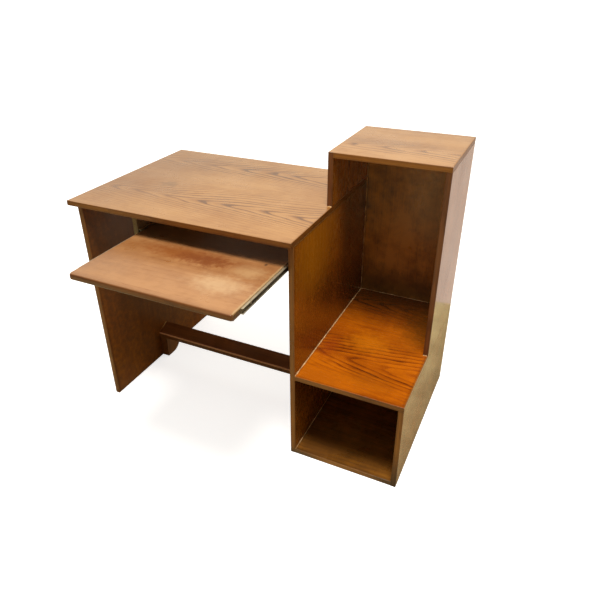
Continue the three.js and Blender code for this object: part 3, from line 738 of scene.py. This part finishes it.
def makeTrayNose(setup):
    # the tray's front strip is worn round: its two front corners first, then its long edges
    low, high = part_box("keyboard_tray_lipping")
    middle, size = (low + high) / 2, high - low
    shape = bmesh.new()
    bmesh.ops.create_cube(shape, size=1)
    for point in shape.verts:
        point.co = middle + point.co * size

    def isUpright(edge):
        return abs(edge.verts[0].co.z - edge.verts[1].co.z) > size.z / 2

    def bevelEdges(edges, offset):
        bmesh.ops.bevel(shape, geom=edges, offset=offset, segments=setup["steps"], profile=0.5,
                        affect="EDGES")

    corners = [edge for edge in shape.edges
               if isUpright(edge) and all(point.co.y < middle.y for point in edge.verts)]
    bevelEdges(corners, setup["corner"])
    backEdge = high.y - setup["hair"]
    longEdges = [edge for edge in shape.edges
                 if not isUpright(edge) and not all(point.co.y > backEdge for point in edge.verts)
                 and any(abs(face.normal.z) > setup["level"] for face in edge.link_faces)]
    bevelEdges(longEdges, setup["edge"])
    bmesh.ops.recalc_face_normals(shape, faces=shape.faces)
    mesh = bpy.data.meshes.new("tray_nose")
    shape.to_mesh(mesh)
    shape.free()
    mesh.polygons.foreach_set("use_smooth", [True] * len(mesh.polygons))
    nose = bpy.data.objects.new("tray_nose", mesh)
    scene.collection.objects.link(nose)
    wood = {**woods["lipping"], **setup["tone"]}
    details = {"over": "tray", "overAxis": "z", "patches": [setup["handled"]]}
    finish = makeWood("tray_nose_finish", wood, (low, high), "x", "y", firstSeeds["nose"], details)
    mesh.materials.append(finish)
    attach(nose, "tray")
    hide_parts("keyboard_tray_lipping")


finishBoards(boards)
finishLippings(lippings)
makeTrayNose(trayNose)
finishDowels()
print("wood finished")


steels = {
    "slide": {"colour": (0.60, 0.52, 0.37), "dull": (0.36, 0.30, 0.20), "roughness": 0.42,
              "drawn": (600, 40, 600), "shadeAndGrease": 0.9},
    "cage": {"colour": (0.50, 0.49, 0.46), "dull": (0.27, 0.26, 0.22), "roughness": 0.30,
             "drawn": (600, 40, 600), "shadeAndGrease": 0.5},
    "screw": {"colour": (0.62, 0.60, 0.54), "dull": (0.34, 0.31, 0.24), "roughness": 0.28,
              "drawn": (900, 900, 900), "shadeAndGrease": 0.2},
}
steelMarks = {
    "spangle": (70, 45, 70), "dirt": (22, 12, 22), "dirtColour": (0.09, 0.07, 0.045), "dirtShare": 0.35,
    "shadeAndGreaseColour": (0.03, 0.024, 0.016), "metallic": 0.6, "dirtDull": 0.2, "bump": 0.3, "bumpDepth": 0.0001,
}


def makeSteel(name, steel):
    material, tree, shader = startMaterial(name)
    marks = steelMarks
    coordinates = addNode(tree, "ShaderNodeTexCoord")
    place = coordinates.outputs["Object"]
    spangle = stretchedNoise(tree, place, marks["spangle"], 3.0, 0.6)
    drawn = stretchedNoise(tree, place, steel["drawn"], 1.0)
    dirt = remap(tree, stretchedNoise(tree, place, marks["dirt"], 3.0, 0.65), 0.42, 0.68)
    colour = mixColours(tree, remap(tree, spangle, 0.35, 0.7), steel["colour"], steel["dull"])
    colour = mixColours(tree, maths(tree, "MULTIPLY", dirt, marks["dirtShare"]), colour, marks["dirtColour"])
    # grease and painted shade: faces that look sideways, mostly the webs inside the slides' channels, are
    # darkened for grease and for the shade inside the channels
    facing = addNode(tree, "ShaderNodeSeparateXYZ", {0: coordinates.outputs["Normal"]})
    upright = remap(tree, maths(tree, "ABSOLUTE", facing.outputs["X"]), 0.6, 0.9)
    greasedAndShaded = remap(tree, drawn, 0.2, 0.6, steel["shadeAndGrease"] * 0.7, steel["shadeAndGrease"])
    colour = mixColours(tree, maths(tree, "MULTIPLY", upright, greasedAndShaded), colour, marks["shadeAndGreaseColour"])
    tree.links.new(colour, shader.inputs["Base Color"])
    shader.inputs["Metallic"].default_value = marks["metallic"]
    dullest, glossiest = steel["roughness"] * 1.3, steel["roughness"] * 0.8
    gloss = remap(tree, spangle, 0.3, 0.75, glossiest, dullest)
    gloss = maths(tree, "MULTIPLY_ADD", dirt, marks["dirtDull"], gloss, clamp=True)
    tree.links.new(gloss, shader.inputs["Roughness"])
    bump = addNode(tree, "ShaderNodeBump", {
        "Strength": marks["bump"], "Distance": marks["bumpDepth"], "Height": drawn,
    })
    tree.links.new(bump.outputs[0], shader.inputs["Normal"])
    return material


def finishSteel():
    finishes = {kind: makeSteel(kind + "_finish", steel) for kind, steel in steels.items()}
    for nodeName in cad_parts:
        if nodeName.endswith("_member"):
            dress(nodeName, finishes["slide"])
        elif nodeName.endswith("_cage"):
            dress(nodeName, finishes["cage"])
        elif "_screw_" in nodeName:
            dress(nodeName, finishes["screw"])


finishSteel()
print("steel finished")


# glue that squeezed out along the tower's inner seams and was never cleaned off
glue = {
    "clean": (0.82, 0.54, 0.27), "stained": (0.36, 0.18, 0.06), "roughness": 0.6, "specular": 0.25,
    "dirt": (35, 35, 35), "dirtDull": 0.3, "lumps": (400, 400, 400), "bump": 0.5, "bumpDepth": 0.0004,
    "step": 0.011, "fewest": 4, "uneven": (0.45, 1.15), "sink": 0.0002, "hollow": 0.38,
    "inset": 0.001,           # from a lipping's front, or a panel's side, to a bead's end
    "foot": 0.014,            # how far the beads at the upper panels' feet reach
    "restFront": 0.002, "restRise": 0.016, "restBack": 0.008,  # where the footrest's bead starts and ends
}


def makeGlue():
    material, tree, shader = startMaterial("dried_glue")
    place = addNode(tree, "ShaderNodeTexCoord").outputs["Object"]
    dirt = remap(tree, stretchedNoise(tree, place, glue["dirt"], 3.0, 0.6), 0.42, 0.66)
    gloss = maths(tree, "MULTIPLY_ADD", dirt, glue["dirtDull"], glue["roughness"])
    tree.links.new(mixColours(tree, dirt, glue["clean"], glue["stained"]), shader.inputs["Base Color"])
    tree.links.new(gloss, shader.inputs["Roughness"])
    shader.inputs["Specular IOR Level"].default_value = glue["specular"]
    bump = addNode(tree, "ShaderNodeBump", {
        "Strength": glue["bump"], "Distance": glue["bumpDepth"],
        "Height": stretchedNoise(tree, place, glue["lumps"], 2.0),
    })
    tree.links.new(bump.outputs[0], shader.inputs["Normal"])
    return material


def glueBead(name, start, end, wallA, wallB, size, seed, material):
    # an uneven hollow fillet from start to end; wallA and wallB run out from the seam along the boards
    draw = random.Random(seed)
    start, end, wallA, wallB = Vector(start), Vector(end), Vector(wallA), Vector(wallB)
    steps = max(glue["fewest"], round((end - start).length / glue["step"]))
    sink = glue["sink"]
    shape = bmesh.new()
    sections = []
    for index in range(steps + 1):
        seam = start.lerp(end, index / steps)
        alongA = wallA * size * draw.uniform(*glue["uneven"])
        alongB = wallB * size * draw.uniform(*glue["uneven"])
        corner = seam - (wallA + wallB) * sink
        outline = (corner, seam + alongA - wallB * sink, seam + (alongA + alongB) * glue["hollow"],
                   seam + alongB - wallA * sink)
        sections.append([shape.verts.new(point) for point in outline])
    for before, after in zip(sections, sections[1:]):
        for side in range(4):
            other = (side + 1) % 4
            shape.faces.new((before[side], before[other], after[other], after[side]))
    shape.faces.new(sections[0])
    shape.faces.new(sections[-1])
    bmesh.ops.recalc_face_normals(shape, faces=shape.faces)
    mesh = bpy.data.meshes.new(name)
    shape.to_mesh(mesh)
    shape.free()
    mesh.materials.append(material)
    bead = bpy.data.objects.new(name, mesh)
    scene.collection.objects.link(bead)
    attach(bead, "desk")


def layGlue():
    material = makeGlue()
    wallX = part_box("partition_panel")[1].x
    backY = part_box("tower_back_panel")[0].y
    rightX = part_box("upper_right_panel")[0].x
    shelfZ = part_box("shelf_panel")[1].z
    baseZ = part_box("base_panel")[1].z
    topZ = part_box("tower_top_panel")[0].z
    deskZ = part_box("desktop_panel")[1].z
    inset, foot = glue["inset"], glue["foot"]
    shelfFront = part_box("shelf_front_lipping")[0].y + inset
    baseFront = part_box("base_lipping")[0].y + inset
    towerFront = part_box("upper_right_lipping")[0].y
    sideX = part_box("left_side_panel")[1].x
    restLow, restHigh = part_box("footrest_board")
    restStart = (sideX, restLow.y + glue["restFront"], restLow.z + glue["restRise"])
    restEnd = (sideX, restHigh.y - glue["restBack"], restHigh.z)
    tilt = (restHigh - restLow) * Vector((0, 1, 1))
    offRest = Vector((0, -tilt.z, tilt.y)).normalized()
    right, front, up = (1, 0, 0), (0, -1, 0), (0, 0, 1)
    seams = {  # start, end, along one board, along the other, size
        "glue_shelf_to_partition": ((wallX, shelfFront, shelfZ), (wallX, backY, shelfZ), right, up, 0.0027),
        "glue_shelf_to_back": ((wallX, backY, shelfZ), (rightX, backY, shelfZ), front, up, 0.0016),
        "glue_back_corner": ((wallX, backY, shelfZ), (wallX, backY, topZ), right, front, 0.0017),
        "glue_base_to_partition": ((wallX, baseFront, baseZ), (wallX, backY, baseZ), right, up, 0.0022),
        "glue_right_panel_foot": ((rightX + inset, towerFront, shelfZ), (rightX + foot, towerFront, shelfZ),
                                  front, up, 0.0024),
        "glue_left_panel_foot": ((wallX - foot, towerFront, deskZ), (wallX - inset, towerFront, deskZ),
                                 front, up, 0.0022),
        "glue_footrest_end": (restStart, restEnd, right, offRest, 0.0022),
    }
    for seed, (name, (start, end, wallA, wallB, size)) in enumerate(seams.items(), firstSeeds["glue"]):
        glueBead(name, start, end, wallA, wallB, size, seed, material)


layGlue()
print("glue laid")
